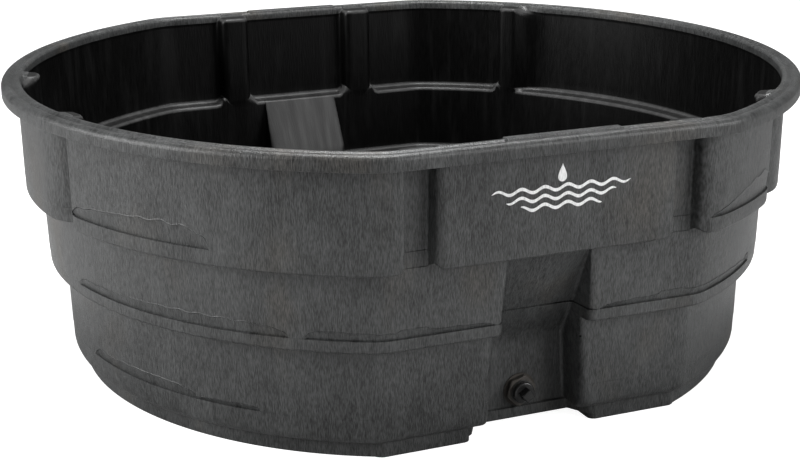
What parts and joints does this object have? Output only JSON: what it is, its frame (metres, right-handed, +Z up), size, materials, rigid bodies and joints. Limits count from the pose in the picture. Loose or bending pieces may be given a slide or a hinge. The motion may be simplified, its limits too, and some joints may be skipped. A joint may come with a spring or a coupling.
{
  "type": "livestock water trough",
  "caption": "Large open round-ended stock tank in black moulded plastic, three stepped tiers, rolled rim, recessed drain with a square-headed screw plug.",
  "frame": {"origin": "middle of the footprint, on the ground plane under the foot", "axes": "+Z up, +X along the long axis between the round ends, -Y the straight side with the drain"},
  "size_m": [1.753, 1.6, 0.639],
  "materials": {
    "tank_plastic": "moulded black structural foam, satin, scuffed and finely streaked",
    "fitting_plastic": "moulded black plastic, satin",
    "gasket_rubber": "dull black rubber",
    "washer_rubber": "dull dark grey rubber",
    "nut_plastic": "moulded black plastic, satin, slightly dusty",
    "seal_rubber": "dull black rubber",
    "plug_plastic": "glossy black plastic"
  },
  "bodies": {
    "tank_body": {"tank": "tank_plastic", "drain_body": "fitting_plastic", "drain_gasket": "gasket_rubber", "drain_washer": "washer_rubber", "lock_nut": "nut_plastic"},
    "seal_body": {"plug_seal": "seal_rubber"},
    "plug_body": {"drain_plug": "plug_plastic"}
  },
  "joints": [
    {"name": "plug_travel", "type": "slide", "parent": "tank_body", "child": "seal_body", "axis": [0, -1, 0], "range_m": [0, 0.03]},
    {"name": "plug_turn", "type": "hinge", "parent": "seal_body", "child": "plug_body", "pos_m": [0, -0.63, 0.068], "axis": [0, -1, 0], "range_deg": [0, 4860]}
  ],
  "couplings": [
    {"joint": "plug_travel", "follows": "plug_turn", "m_per_rad": 0.00035157}
  ]
}
